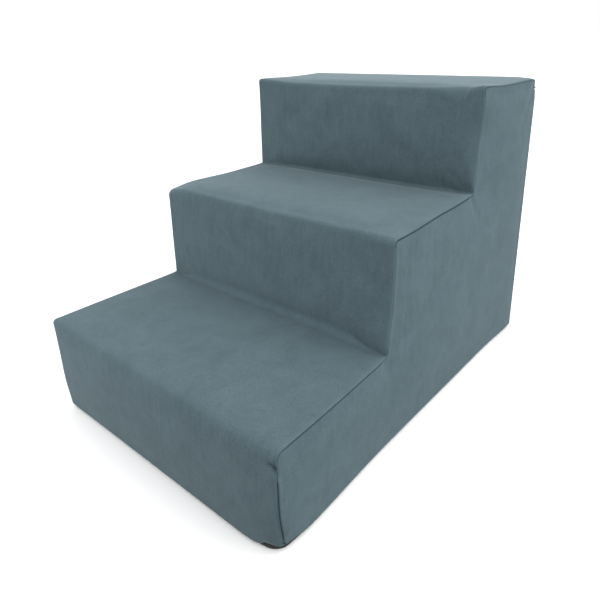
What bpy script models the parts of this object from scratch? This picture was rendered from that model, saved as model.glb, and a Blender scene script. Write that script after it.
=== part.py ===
"""Three-step foam pet stairs: a core of glued foam slabs in a zipped suede cover.

X runs across the steps, +Y from the lowest step to the back, +Z up. The origin is under the
middle of the whole object, on the floor. Metres.
"""

import math

import bmesh
import bpy

# Foam core
CORE_WIDTH = 0.381
SLAB_THICKNESS = 0.128
CORE_EDGE = 0.003  # rounding of the slabs' cut edges

# Cover, measured over the fabric
LOWER_TREAD = 0.201
MIDDLE_TREAD = 0.201
UPPER_TREAD = 0.161
LOWER_NOSE = 0.022  # radius that the cover takes over each slab's front edge
MIDDLE_NOSE = 0.015
UPPER_NOSE = 0.011
TREAD_CREASE = 0.004  # radius where a tread turns up into a riser
BACK_EDGE = 0.008
FABRIC = 0.0015
BASE_FABRIC = 0.0015
CLEARANCE = 0.0003

# How the back is divided between the sewn panels
BACK_LIP = 0.012  # the step panel turned down over the top of the back
SIDE_RETURN = 0.020  # each side panel turned on to the back
HEM_HEIGHT = 0.020  # the suede strip along the foot of the back

# Zip, which runs down one side of the back, along its foot and up the other side
ZIP_SLOT = 0.010  # opening between the panels, in which the coils show
ZIP_CORNER = 0.018
TAPE_WIDTH = 0.012
TAPE_THICKNESS = 0.0008
COIL_WIDTH = 0.0022
COIL_HEIGHT = 0.0014
COIL_GAP = 0.0014  # between the two coils, for the slider's post
ZIP_END = 0.004  # from the top seam to the top stops
STOP_LENGTH = 0.003
STOP_GAP = 0.001  # from the closed slider to the top stops

SLIDER_LENGTH = 0.011
SLIDER_WIDTH = 0.009
SLIDER_PLATE = 0.001
POST_WIDTH = 0.0008
POST_LENGTH = 0.003
FLANGE_WIDTH = 0.001
BRIDGE_WIDTH = 0.0012
BRIDGE_LENGTH = 0.0094
BRIDGE_OPENING = 0.0024
BRIDGE_THICKNESS = 0.001

PULL_LENGTH = 0.028
PULL_WIDTH = 0.0076
PULL_THICKNESS = 0.001
PULL_EYE_WIDTH = 0.0024
PULL_EYE_LENGTH = 0.0038
PULL_PIN_DROP = 0.0022  # from the slider's middle down to the pull's pivot

ARC_STEPS = 6

# Heights of the treads and places of the faces, over the fabric
BASE_TOP = BASE_FABRIC + CLEARANCE
COVER_DEPTH = FABRIC + CLEARANCE
LOWER_TOP = BASE_TOP + SLAB_THICKNESS + COVER_DEPTH
MIDDLE_TOP = LOWER_TOP + SLAB_THICKNESS + CLEARANCE
HEIGHT = MIDDLE_TOP + SLAB_THICKNESS + CLEARANCE
HALF_WIDTH = CORE_WIDTH / 2 + COVER_DEPTH
COVER_LENGTH = LOWER_TREAD + MIDDLE_TREAD + UPPER_TREAD

# Layers of the zip, outwards from the tape that lies under the back panels
TAPE_BELOW = COVER_DEPTH + TAPE_THICKNESS
COIL_ABOVE = COIL_HEIGHT - FABRIC
UPPER_PLATE_ABOVE = COIL_ABOVE + CLEARANCE + SLIDER_PLATE
BRIDGE_ABOVE = UPPER_PLATE_ABOVE + BRIDGE_OPENING + BRIDGE_THICKNESS
LOWER_PLATE_BELOW = TAPE_BELOW + CLEARANCE + SLIDER_PLATE

BACK = (COVER_LENGTH + BRIDGE_ABOVE) / 2 - BRIDGE_ABOVE
FRONT = BACK - COVER_LENGTH
MIDDLE_RISER = FRONT + LOWER_TREAD
UPPER_RISER = MIDDLE_RISER + MIDDLE_TREAD
CORE_BACK = BACK - LOWER_PLATE_BELOW - CLEARANCE

LIP_BOTTOM = HEIGHT - BACK_LIP
ZIP_X = HALF_WIDTH - SIDE_RETURN - ZIP_SLOT / 2
ZIP_Z = HEM_HEIGHT + ZIP_SLOT / 2
ZIP_TOP = LIP_BOTTOM - ZIP_END
COIL_TOP = ZIP_TOP - STOP_LENGTH - CLEARANCE
SLIDER_Z = COIL_TOP - STOP_GAP - SLIDER_LENGTH / 2


def clear_scene():
    for thing in list(bpy.data.objects):
        bpy.data.objects.remove(thing)


def material(name, color, roughness, metallic=0.0):
    found = bpy.data.materials.new(name)
    found.use_nodes = True
    shader = found.node_tree.nodes["Principled BSDF"]
    shader.inputs["Base Color"].default_value = (*color, 1.0)
    shader.inputs["Roughness"].default_value = roughness
    shader.inputs["Metallic"].default_value = metallic
    return found


def rounded(corners):
    """The outline through (a, b, radius) corners, each fillet drawn as an arc."""
    outline = []
    for i, (a, b, radius) in enumerate(corners):
        if radius == 0:
            outline.append((a, b))
            continue
        before = corners[i - 1]
        after = corners[(i + 1) % len(corners)]
        to_before = math.atan2(before[1] - b, before[0] - a)
        to_after = math.atan2(after[1] - b, after[0] - a)
        opening = math.remainder(to_after - to_before, math.tau)
        middle = to_before + opening / 2
        reach = radius / math.sin(abs(opening) / 2)
        centre_a = a + reach * math.cos(middle)
        centre_b = b + reach * math.sin(middle)
        sweep = math.copysign(math.pi - abs(opening), -opening)
        start = middle + math.pi - sweep / 2
        for step in range(ARC_STEPS + 1):
            angle = start + sweep * step / ARC_STEPS
            outline.append((centre_a + radius * math.cos(angle), centre_b + radius * math.sin(angle)))
    return outline


def prism(name, outline, across, low, high, finish):
    """A closed solid: an outline in the plane square to the X or Y axis, drawn out from low to high."""
    mesh = bpy.data.meshes.new(name)
    build = bmesh.new()
    ends = []
    for level in (low, high):
        places = [(level, a, b) if across == "X" else (a, level, b) for a, b in outline]
        ends.append(build.faces.new([build.verts.new(place) for place in places]))
    bmesh.ops.bridge_loops(build, edges=[edge for end in ends for edge in end.edges])
    bmesh.ops.recalc_face_normals(build, faces=build.faces)
    build.to_mesh(mesh)
    build.free()
    mesh.materials.append(finish)
    solid = bpy.data.objects.new(name, mesh)
    bpy.context.scene.collection.objects.link(solid)
    return solid


def block(name, low, high, finish):
    outline = [(low[1], low[2]), (high[1], low[2]), (high[1], high[2]), (low[1], high[2])]
    return prism(name, outline, "X", low[0], high[0], finish)


def combine(solid, other, operation):
    """Joins another solid to this one, or cuts it away, and hides the other."""
    boolean = solid.modifiers.new(f"{operation.lower()} {other.name}", "BOOLEAN")
    boolean.operation = operation
    boolean.object = other
    other.hide_render = True
    other.display_type = "WIRE"


def set_origin(solid, place):
    """Moves an object's origin to a place, with its shape left where it is."""
    for vertex in solid.data.vertices:
        vertex.co.x -= place[0]
        vertex.co.y -= place[1]
        vertex.co.z -= place[2]
    solid.location = place


def stair_corners(inset):
    """The steps seen from the side, from the foot of the front to the top of the back."""
    front = FRONT + inset
    middle = MIDDLE_RISER + inset
    upper = UPPER_RISER + inset
    return [
        (front, BASE_TOP, 0),
        (front, LOWER_TOP - inset, LOWER_NOSE - inset),
        (middle, LOWER_TOP - inset, TREAD_CREASE + inset),
        (middle, MIDDLE_TOP - inset, MIDDLE_NOSE - inset),
        (upper, MIDDLE_TOP - inset, TREAD_CREASE + inset),
        (upper, HEIGHT - inset, UPPER_NOSE - inset),
        (BACK - inset, HEIGHT - inset, BACK_EDGE - inset),
    ]


def foam_slab(name, front, bottom, nose, back_edge):
    """One slab of the core, its front edge rounded as the cover pulls it."""
    top = bottom + SLAB_THICKNESS
    corners = [
        (front, bottom, 0),
        (front, top, nose - COVER_DEPTH),
        (CORE_BACK, top, back_edge),
        (CORE_BACK, bottom, 0),
    ]
    slab = prism(name, rounded(corners), "X", -CORE_WIDTH / 2, CORE_WIDTH / 2, foam)
    bevel = slab.modifiers.new("cut edges", "BEVEL")
    bevel.width = CORE_EDGE
    bevel.segments = 2
    bevel.limit_method = "ANGLE"
    bevel.angle_limit = math.radians(40)
    return slab


def step_panel():
    """The strip over the steps, from the foot of the front to the lip on the back."""
    outer = rounded(stair_corners(0) + [(BACK, LIP_BOTTOM, 0)])
    inner = rounded(stair_corners(FABRIC) + [(BACK - FABRIC, LIP_BOTTOM, 0)])
    reach = HALF_WIDTH - FABRIC - CLEARANCE
    return prism("step_panel", outer + inner[::-1], "X", -reach, reach, suede)


def side_panel(name, side):
    """A stair-shaped panel and the strip of it that turns on to the back."""
    outline = rounded(stair_corners(0) + [(BACK, BASE_TOP, 0)])
    faces = sorted((side * HALF_WIDTH, side * (HALF_WIDTH - FABRIC)))
    panel = prism(name, outline, "X", *faces, suede)
    turned = sorted((side * (HALF_WIDTH - FABRIC / 2), side * (HALF_WIDTH - SIDE_RETURN)))
    low = (turned[0], BACK - FABRIC, BASE_TOP)
    high = (turned[1], BACK, LIP_BOTTOM - CLEARANCE)
    combine(panel, block(f"{name}_return", low, high, suede), "UNION")
    return panel


def zip_line(offset):
    """The zip's middle line, moved outwards by an offset, from one top end to the other."""
    x = ZIP_X + offset
    z = ZIP_Z - offset
    radius = ZIP_CORNER + offset
    return rounded([(x, ZIP_TOP, 0), (x, z, radius), (-x, z, radius), (-x, ZIP_TOP, 0)])


def zip_strip(name, side, near, far, top, low, high, finish):
    """A band along the zip, on the outer (+1) or inner (-1) side of its middle line, cut off at a height."""
    band = []
    for distance, order in ((near, 1), (far, -1)):
        line = zip_line(side * distance)
        line[0] = (line[0][0], top)
        line[-1] = (line[-1][0], top)
        band += line[::order]
    return prism(name, band, "Y", low, high, finish)


def back_panel():
    """The flap that the zip frees on three sides, sewn to the lip along its top."""
    x = ZIP_X - ZIP_SLOT / 2
    z = ZIP_Z + ZIP_SLOT / 2
    top = LIP_BOTTOM - CLEARANCE
    corner = ZIP_CORNER - ZIP_SLOT / 2
    outline = rounded([(x, top, 0), (x, z, corner), (-x, z, corner), (-x, top, 0)])
    return prism("back_panel", outline, "Y", BACK - FABRIC, BACK, suede)


def back_hem_strip():
    reach = HALF_WIDTH - SIDE_RETURN - CLEARANCE
    return block("back_hem_strip", (-reach, BACK - FABRIC, BASE_TOP), (reach, BACK, HEM_HEIGHT), suede)


def zip_halves():
    """Both tapes and coils, with their stops: outer is sewn to the cover, inner to the flap."""
    tape_face = BACK - COVER_DEPTH
    coil_foot = BACK - FABRIC
    near = COIL_GAP / 2
    far = near + COIL_WIDTH
    for name, side in (("outer", 1), ("inner", -1)):
        tape_layer = (tape_face - TAPE_THICKNESS, tape_face)
        zip_strip(f"zip_tape_{name}", side, near, near + TAPE_WIDTH, ZIP_TOP, *tape_layer, tape)
        coil_layer = (coil_foot, coil_foot + COIL_HEIGHT)
        zip_strip(f"zip_coil_{name}", side, near, far, COIL_TOP, *coil_layer, coil)
        x = sorted((ZIP_X + side * near, ZIP_X + side * far))
        low = (x[0], coil_foot, ZIP_TOP - STOP_LENGTH)
        high = (x[1], coil_foot + COIL_HEIGHT, ZIP_TOP)
        block(f"zip_top_stop_{name}", low, high, metal)
    low = (-ZIP_X - far, coil_foot, ZIP_TOP - STOP_LENGTH)
    high = (-ZIP_X + far, coil_foot + COIL_HEIGHT, ZIP_TOP)
    block("zip_bottom_stop", low, high, metal)


def zip_slider():
    """Two plates joined by a post between the coils, and a bridge over the upper plate."""
    half = SLIDER_WIDTH / 2
    bottom = SLIDER_Z - SLIDER_LENGTH / 2
    top = SLIDER_Z + SLIDER_LENGTH / 2
    lower_low = BACK - LOWER_PLATE_BELOW
    upper_low = BACK + COIL_ABOVE + CLEARANCE
    upper_high = BACK + UPPER_PLATE_ABOVE
    slider = block(
        "zip_slider", (ZIP_X - half, upper_low, bottom), (ZIP_X + half, upper_high, top), metal
    )
    join = SLIDER_PLATE / 2
    lower_plate = block(
        "lower_plate",
        (ZIP_X - half, lower_low, bottom),
        (ZIP_X + half, lower_low + SLIDER_PLATE, top),
        metal,
    )
    post = block(
        "post",
        (ZIP_X - POST_WIDTH / 2, lower_low + join, top - POST_LENGTH - join),
        (ZIP_X + POST_WIDTH / 2, upper_low + join, top - join),
        metal,
    )
    combine(slider, lower_plate, "UNION")
    combine(slider, post, "UNION")
    for side, name in ((1, "right"), (-1, "left")):
        x = sorted((ZIP_X + side * (half - join / 2), ZIP_X + side * (half - FLANGE_WIDTH)))
        flange = block(
            f"{name}_flange",
            (x[0], BACK - FABRIC, bottom + join),
            (x[1], upper_low + join, top - join),
            metal,
        )
        combine(slider, flange, "UNION")
    arch_high = upper_high + BRIDGE_OPENING + BRIDGE_THICKNESS
    foot = BRIDGE_THICKNESS
    bridge_low = SLIDER_Z - BRIDGE_LENGTH / 2
    bridge_high = SLIDER_Z + BRIDGE_LENGTH / 2
    opening_high = upper_high + BRIDGE_OPENING
    arch = [
        (upper_high - join, bridge_low),
        (arch_high, bridge_low),
        (arch_high, bridge_high),
        (upper_high - join, bridge_high),
        (upper_high - join, bridge_high - foot),
        (opening_high, bridge_high - foot),
        (opening_high, bridge_low + foot),
        (upper_high - join, bridge_low + foot),
    ]
    half_bridge = BRIDGE_WIDTH / 2
    bridge = prism("bridge", arch, "X", ZIP_X - half_bridge, ZIP_X + half_bridge, metal)
    combine(slider, bridge, "UNION")
    return slider


def pull_tab():
    """The tab that hangs from the bridge, with an eye round it. Its origin is on its pivot."""
    pivot = (ZIP_X, BACK + UPPER_PLATE_ABOVE + BRIDGE_OPENING / 2, SLIDER_Z - PULL_PIN_DROP)
    half = PULL_WIDTH / 2
    top = pivot[2] + PULL_THICKNESS / 2
    corners = [
        (ZIP_X - half, top, half / 2),
        (ZIP_X + half, top, half / 2),
        (ZIP_X + half, top - PULL_LENGTH, half * 0.9),
        (ZIP_X - half, top - PULL_LENGTH, half * 0.9),
    ]
    low = pivot[1] - PULL_THICKNESS / 2
    high = pivot[1] + PULL_THICKNESS / 2
    tab = prism("zip_pull_tab", rounded(corners), "Y", low, high, metal)
    eye_top = top - PULL_THICKNESS
    eye = block(
        "eye",
        (ZIP_X - PULL_EYE_WIDTH / 2, low - PULL_THICKNESS, eye_top - PULL_EYE_LENGTH),
        (ZIP_X + PULL_EYE_WIDTH / 2, high + PULL_THICKNESS, eye_top),
        metal,
    )
    set_origin(tab, pivot)
    combine(tab, eye, "DIFFERENCE")
    return tab


clear_scene()
foam = material("cut polyurethane foam", (0.78, 0.76, 0.66), 0.95)
suede = material("teal grey suede", (0.13, 0.19, 0.21), 0.9)
grip = material("black anti-slip fabric", (0.012, 0.012, 0.013), 0.85)
tape = material("woven zip tape", (0.10, 0.15, 0.17), 0.8)
coil = material("nylon zip coil", (0.11, 0.16, 0.18), 0.5)
metal = material("plated zinc", (0.55, 0.55, 0.56), 0.3, 1.0)

lower_bottom = BASE_TOP
middle_bottom = lower_bottom + SLAB_THICKNESS + CLEARANCE
upper_bottom = middle_bottom + SLAB_THICKNESS + CLEARANCE
foam_slab("foam_lower_slab", FRONT + COVER_DEPTH, lower_bottom, LOWER_NOSE, 0)
foam_slab("foam_middle_slab", MIDDLE_RISER + COVER_DEPTH, middle_bottom, MIDDLE_NOSE, 0)
foam_slab(
    "foam_upper_slab", UPPER_RISER + COVER_DEPTH, upper_bottom, UPPER_NOSE, BACK_EDGE - COVER_DEPTH
)

step_panel()
side_panel("right_side_panel", 1)
side_panel("left_side_panel", -1)
back_panel()
back_hem_strip()
block("base_panel", (-HALF_WIDTH, FRONT, 0), (HALF_WIDTH, BACK, BASE_FABRIC), grip)
zip_halves()
zip_slider()
pull_tab()
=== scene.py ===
"""Foam pet stairs in a zipped suede cover: the finished look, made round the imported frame.

Metres, +Z up, +Y from the lowest step to the back.
"""

import math

import bmesh
import bpy
import numpy as np
from mathutils import Matrix, Vector, geometry
from mathutils.bvhtree import BVHTree


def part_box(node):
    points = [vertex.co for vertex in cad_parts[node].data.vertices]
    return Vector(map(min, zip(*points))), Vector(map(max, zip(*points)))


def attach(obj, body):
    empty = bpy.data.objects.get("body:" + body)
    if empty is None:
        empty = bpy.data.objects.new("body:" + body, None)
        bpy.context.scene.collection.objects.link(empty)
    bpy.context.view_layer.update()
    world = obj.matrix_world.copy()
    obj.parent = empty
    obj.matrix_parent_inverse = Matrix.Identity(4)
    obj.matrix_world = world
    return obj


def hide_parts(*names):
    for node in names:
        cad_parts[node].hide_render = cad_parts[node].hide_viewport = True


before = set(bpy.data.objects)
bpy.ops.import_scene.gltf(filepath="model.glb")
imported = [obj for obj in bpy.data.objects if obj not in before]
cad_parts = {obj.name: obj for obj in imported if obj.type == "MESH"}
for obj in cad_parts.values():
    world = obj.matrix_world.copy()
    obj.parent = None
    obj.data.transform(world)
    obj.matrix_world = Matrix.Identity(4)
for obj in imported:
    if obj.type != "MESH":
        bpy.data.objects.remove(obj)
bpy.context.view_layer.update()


# ---------------------------------------------------------------- Studio
# A white room: a matt white floor that runs out of sight, a broad soft light from the right and
# behind, and a weak one from the front, so that the risers stand a tone below the treads.

scene = bpy.context.scene
scene.view_settings.view_transform = "Standard"


def linear(hex_colour):
    """An sRGB hex colour as linear RGBA."""
    shares = [int(hex_colour[i : i + 2], 16) / 255 for i in (1, 3, 5)]
    return (*(c / 12.92 if c <= 0.04045 else ((c + 0.055) / 1.055) ** 2.4 for c in shares), 1.0)


def feed(node, inputs):
    """Gives each input of a node its value, or the socket that feeds it."""
    for name, value in inputs.items():
        if isinstance(value, bpy.types.NodeSocket):
            node.id_data.links.new(value, node.inputs[name])
        else:
            node.inputs[name].default_value = value


def add(tree, kind, inputs=None, **settings):
    """Adds a node with its settings and links."""
    node = tree.nodes.new(kind)
    for name, value in settings.items():
        setattr(node, name, value)
    feed(node, inputs or {})
    return node


A, B, MIXED = 6, 7, 2  # the sockets of a Mix node that mixes colours


def new_finish(name):
    """A new material, its tree, its surface shader, and a point's place on the object."""
    made = bpy.data.materials.new(name)
    made.use_nodes = True
    tree = made.node_tree
    place = add(tree, "ShaderNodeTexCoord").outputs["Object"]
    return made, tree, tree.nodes["Principled BSDF"], place


def mesh_object(name, points, faces, finish=None):
    """A smooth-shaded mesh in the scene, its place in its points."""
    mesh = bpy.data.meshes.new(name)
    mesh.from_pydata([tuple(p) for p in points], [], [tuple(f) for f in faces])
    mesh.shade_smooth()
    if finish:
        mesh.materials.append(finish)
    made = bpy.data.objects.new(name, mesh)
    scene.collection.objects.link(made)
    return made


def white_floor_paint():
    """Matt white paint: it gives the eye nothing but the soft shadow under the stairs. It throws
    less light back on the risers than it shows, as a floor lit only near the camera would."""
    paint, tree, shader, _ = new_finish("matt white floor paint")
    seen = add(tree, "ShaderNodeLightPath").outputs["Is Camera Ray"]
    whites = {"Factor": seen, A: linear("#8c8c8c"), B: linear("#f1f1f1")}
    white = add(tree, "ShaderNodeMix", whites, data_type="RGBA")
    feed(shader, {"Base Color": white.outputs[MIXED], "Roughness": 1.0, "Specular IOR Level": 0.0})
    return paint


FLOOR_REACH = 12.0
FLOOR_DROP = 0.0003
SQUARE = ((-1, -1), (1, -1), (1, 1), (-1, 1))
floor_corners = [(x * FLOOR_REACH, y * FLOOR_REACH, -FLOOR_DROP) for x, y in SQUARE]
floor = mesh_object("floor", floor_corners, [(0, 1, 2, 3)], white_floor_paint())

CAMERA_PLACE = (0.4754, -0.5287, 0.4695)
CAMERA_AZIMUTH, CAMERA_DROP, CAMERA_ROLL = (math.radians(a) for a in (41.68, 23.01, -2.73))
camera_data = bpy.data.cameras.new("camera")
camera_data.lens = 33.0
camera_data.shift_x = -0.0125
camera_data.shift_y = -0.0668
camera_data.clip_start = 0.01
camera = bpy.data.objects.new("camera", camera_data)
scene.collection.objects.link(camera)
turn = Matrix.Rotation(CAMERA_AZIMUTH, 4, "Z") @ Matrix.Rotation(math.pi / 2 - CAMERA_DROP, 4, "X")
camera.matrix_world = Matrix.Translation(CAMERA_PLACE) @ turn @ Matrix.Rotation(CAMERA_ROLL, 4, "Z")
scene.camera = camera

world = bpy.data.worlds.new("white room")
world.use_nodes = True
scene.world = world
room = world.node_tree
toward = add(room, "ShaderNodeTexCoord").outputs["Generated"]
# The room is brightest to the right, behind and above, and dimmest in front of the steps.
BRIGHT_SIDE = (0.56, 0.46, 0.69)
ROOM_DIM, ROOM_BRIGHT = 0.95, 1.8
facing = add(room, "ShaderNodeVectorMath", {0: toward, 1: BRIGHT_SIDE}, operation="DOT_PRODUCT")
levels = {"From Min": -0.9, "From Max": 0.9, "To Min": ROOM_DIM, "To Max": ROOM_BRIGHT}
levels["Value"] = facing.outputs["Value"]
glow = add(room, "ShaderNodeMapRange", levels, interpolation_type="SMOOTHSTEP")
seen = add(room, "ShaderNodeLightPath").outputs["Is Camera Ray"]
level = add(room, "ShaderNodeMix", {0: seen, 2: glow.outputs["Result"], 3: 1.0}, data_type="FLOAT")
feed(room.nodes["Background"], {"Color": (1.0, 1.0, 1.0, 1.0), "Strength": level.outputs[0]})


def soft_light(name, place, aim, size, power):
    """A square soft box at a place, turned to a point."""
    data = bpy.data.lights.new(name, "AREA")
    data.shape = "SQUARE"
    data.size = size
    data.energy = power
    lamp = bpy.data.objects.new(name, data)
    lamp.location = place
    lamp.rotation_euler = (Vector(aim) - Vector(place)).to_track_quat("-Z", "Y").to_euler()
    scene.collection.objects.link(lamp)


soft_light("key soft box", place=(1.4, 1.2, 2.6), aim=(0.0, 0.0, 0.15), size=2.0, power=22.0)
soft_light("front soft box", place=(-0.80, -0.80, 0.06), aim=(-0.1, -0.2, 0.1), size=0.36, power=6.8)
soft_light("side soft box", place=(2.4, 0.25, 0.4), aim=(0.1, 0.0, 0.2), size=1.4, power=25.0)


# ---------------------------------------------------------------- Foam core
# Three slabs of open-cell polyurethane foam, cut square from the bun and glued one on another.
# The cover pulls their front edges round, and the stack has settled: the lowest slab spreads
# at its front, and each riser leans back a little.

LOWER, MIDDLE, UPPER = (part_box(f"foam_{level}_slab") for level in ("lower", "middle", "upper"))
SIDE_LOW, SIDE_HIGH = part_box("right_side_panel")
HALF_WIDTH = SIDE_HIGH.x
FRONT, BACK = SIDE_LOW.y, SIDE_HIGH.y
FOOT, HEIGHT = SIDE_LOW.z, SIDE_HIGH.z
FABRIC_LAYER = HALF_WIDTH - LOWER[1].x
LOWER_TOP = LOWER[1].z + FABRIC_LAYER
MIDDLE_TOP = MIDDLE[1].z + FABRIC_LAYER
MIDDLE_RISER = MIDDLE[0].y - FABRIC_LAYER
UPPER_RISER = UPPER[0].y - FABRIC_LAYER

# How far the stack has settled from its cut shape
FRONT_SPREAD = 0.0095  # lowest slab's sides, at its front top edge
FRONT_SPREAD_CURVE = 0.85  # below 1, the spread keeps up further behind the front
FOOT_SPREAD, FOOT_FRONT_SPREAD, BACK_SPREAD = 0.0014, 0.0042, 0.0030
FOOT_FRONT_FADE = (0.03, 0.20)  # behind the front
BACK_SPREAD_REACH = 0.10
FOOT_INSET = 0.0026  # the front's foot, drawn in by the base seam
# Each riser's face, foot and top, and how far its top leans back
LEANS = (
    (FRONT, FOOT, LOWER_TOP, 0.0065),
    (MIDDLE_RISER, LOWER_TOP, MIDDLE_TOP, 0.0056),
    (UPPER_RISER, MIDDLE_TOP, HEIGHT, 0.0055),
)
LEAN_FADE = 0.14
# The back doesn't spread where the zip runs straight: so near the back face, and so far from the middle
BACK_HELD, ZIP_CLEAR = (0.030, 0.004), 0.173
MIDDLE_LIFT, UPPER_LIFT, BACK_LIFT = 0.0042, 0.0030, 0.0035
CORNER_LIFT, CORNER_REACH = 0.0046, (0.028, 0.036)  # front right corner of the cover, off the floor
CORNER_BACK = 0.014


def smooth_step(low, high, value):
    share = np.clip((value - low) / (high - low), 0.0, 1.0)
    return share * share * (3 - 2 * share)


LIP_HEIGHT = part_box("back_panel")[1].z + 0.002  # nothing below this is lifted at the back
# Places where the glued slabs sit askew or a seam draws them in: centre, reach along each axis, move
TUCKS = (
    ((HALF_WIDTH, UPPER_RISER, MIDDLE_TOP), (0.060, 0.060, 0.035), (-0.0030, -0.0035, 0.0045)),
    ((HALF_WIDTH, UPPER_RISER, 0.5 * (MIDDLE_TOP + HEIGHT)), (0.090, 0.060, 0.050), (-0.0065, -0.0055, 0.0)),
    ((HALF_WIDTH, UPPER_RISER, HEIGHT), (0.060, 0.060, 0.030), (-0.0015, -0.0025, 0.0)),
    ((HALF_WIDTH, UPPER_RISER, HEIGHT), (0.018, 0.040, 0.030), (0.0, 0.0, 0.0045)),
    ((HALF_WIDTH, BACK, HEIGHT), (0.013, 0.013, 0.013), (-0.0018, -0.0014, -0.0026)),
    ((-HALF_WIDTH, UPPER_RISER, HEIGHT), (0.040, 0.060, 0.030), (0.0, 0.0, 0.0038)),
    ((-HALF_WIDTH, MIDDLE_RISER, MIDDLE_TOP), (0.018, 0.030, 0.020), (0.0016, -0.0010, -0.0046)),
    ((HALF_WIDTH, UPPER_RISER - 0.090, MIDDLE_TOP), (0.060, 0.055, 0.035), (-0.0030, 0.0, 0.0032)),
    ((HALF_WIDTH, MIDDLE_RISER, LOWER_TOP), (0.060, 0.050, 0.040), (-0.0010, -0.0045, -0.0030)),
    ((HALF_WIDTH, FRONT, FOOT), (0.025, 0.025, 0.045), (-0.0028, 0.0050, 0.0)),
)


def fading(face, y):
    """1 at a riser and in front of it, falling to 0 behind it."""
    return 1 - smooth_step(face, face + LEAN_FADE, y)


def settled(points):
    """Points of the cut shape, moved as the stack has settled."""
    p = np.array(points, float)
    x, y, z = p.T
    on_right = x > 0
    toward_front = np.clip((MIDDLE_RISER - y) / (MIDDLE_RISER - FRONT), 0.0, 1.0)
    near, far = FOOT_FRONT_FADE
    foot_spread = FOOT_SPREAD + FOOT_FRONT_SPREAD * (1 - smooth_step(FRONT + near, FRONT + far, y)) * on_right
    up_lower = smooth_step(0.0, LOWER_TOP, z)
    spread = foot_spread + (FRONT_SPREAD - foot_spread) * toward_front**FRONT_SPREAD_CURVE * up_lower
    spread = spread + BACK_SPREAD * smooth_step(BACK - BACK_SPREAD_REACH, BACK, y) * on_right
    by_zip = 1 - smooth_step(ZIP_CLEAR, HALF_WIDTH, np.abs(x))
    held = smooth_step(BACK - BACK_HELD[0], BACK - BACK_HELD[1], y) * by_zip
    moved = p.copy()
    moved[:, 0] += spread * x / HALF_WIDTH * (1 - held)
    for face, low, high, lean in LEANS:
        moved[:, 1] += lean * fading(face, y) * smooth_step(low, high, z)
    moved[:, 1] += FOOT_INSET * fading(FRONT, y) * (1 - smooth_step(0.0, 0.4 * LOWER_TOP, z))
    by_riser = np.clip((BACK - y) / (BACK - UPPER_RISER), 0.0, 1.0)
    moved[:, 2] += MIDDLE_LIFT * fading(MIDDLE_RISER, y) * smooth_step(LOWER_TOP, MIDDLE_TOP, z)
    moved[:, 2] += UPPER_LIFT * by_riser * smooth_step(MIDDLE_TOP, HEIGHT, z)
    moved[:, 2] += BACK_LIFT * (1 - by_riser) * smooth_step(LIP_HEIGHT, HEIGHT, z)
    for centre, reach, move in TUCKS:
        moved += np.exp(-(((p - centre) / reach) ** 2).sum(axis=1))[:, None] * move
    return moved


def corner_lifted(points):
    """The cover's front right corner, drawn up off the floor by its seams."""
    p = np.array(points, float)
    x, y = (p[:, 0] - HALF_WIDTH) / CORNER_REACH[0], (p[:, 1] - FRONT - CORNER_BACK) / CORNER_REACH[1]
    near = 1 - smooth_step(0.1, 1.2, np.hypot(x, y))
    p[:, 2] += CORNER_LIFT * near * (1 - smooth_step(0.0, 0.06, p[:, 2]))
    return p


def open_cell_foam():
    """Open-cell polyurethane foam: a dull cream surface of fine cut cells, yellower in patches."""
    foam, tree, shader, place = new_finish("open-cell polyurethane foam")
    cell, patch = 0.0022, 0.09
    patches = add(tree, "ShaderNodeTexNoise", {"Vector": place, "Scale": 1 / patch, "Detail": 3.0})
    creams = {"Factor": patches.outputs["Fac"], A: linear("#d9cfae"), B: linear("#efe8d2")}
    tone = add(tree, "ShaderNodeMix", creams, data_type="RGBA")
    cells = add(tree, "ShaderNodeTexVoronoi", {"Vector": place, "Scale": 1 / cell}).outputs["Distance"]
    bump = add(tree, "ShaderNodeBump", {"Height": cells, "Distance": 0.0006, "Strength": 0.7})
    feed(shader, {"Base Color": tone.outputs[MIXED], "Normal": bump.outputs["Normal"], "Roughness": 0.95})
    return foam


def lattice_box(low, high, step):
    """Points and quads of a closed box, its faces divided into cells of about a step."""
    counts = [max(1, round((high[i] - low[i]) / step)) for i in range(3)]
    index, points, faces = {}, [], []

    def corner(cell):
        if cell not in index:
            index[cell] = len(points)
            points.append([low[i] + (high[i] - low[i]) * cell[i] / counts[i] for i in range(3)])
        return index[cell]

    for axis in range(3):
        a, b = (axis + 1) % 3, (axis + 2) % 3
        for end in (0, counts[axis]):
            for i in range(counts[a]):
                for j in range(counts[b]):
                    quad = []
                    for di, dj in ((0, 0), (1, 0), (1, 1), (0, 1)):
                        cell = [0, 0, 0]
                        cell[axis], cell[a], cell[b] = end, i + di, j + dj
                        quad.append(corner(tuple(cell)))
                    faces.append(quad if end else quad[::-1])
    return np.array(points), faces


def eased(points, low, high, radius):
    """Points of a box with its edges rounded to a radius."""
    inner = np.clip(points, np.array(low) + radius, np.array(high) - radius)
    away = points - inner
    length = np.linalg.norm(away, axis=1, keepdims=True)
    rounded = inner + away * radius / np.maximum(length, 1e-9)
    return np.where(length > radius, rounded, points)


def nosed(points, front, top, radius):
    """Points of a slab with its front top edge pulled round to a radius."""
    y, z = points[:, 1], points[:, 2]
    back, up = np.clip(front + radius - y, 0.0, None), np.clip(z - top + radius, 0.0, None)
    scale = np.where((back > 0) & (up > 0), radius / np.maximum(np.hypot(back, up), radius), 1.0)
    moved = points.copy()
    moved[:, 1] = np.where(scale < 1, front + radius - back * scale, y)
    moved[:, 2] = np.where(scale < 1, top - radius + up * scale, z)
    return moved


def join(piece, slot, body, *replaced):
    """Gives a piece its body and hides the nodes it stands for; the slot argument is not used."""
    if replaced:
        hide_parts(*replaced)
    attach(piece, body)


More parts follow.
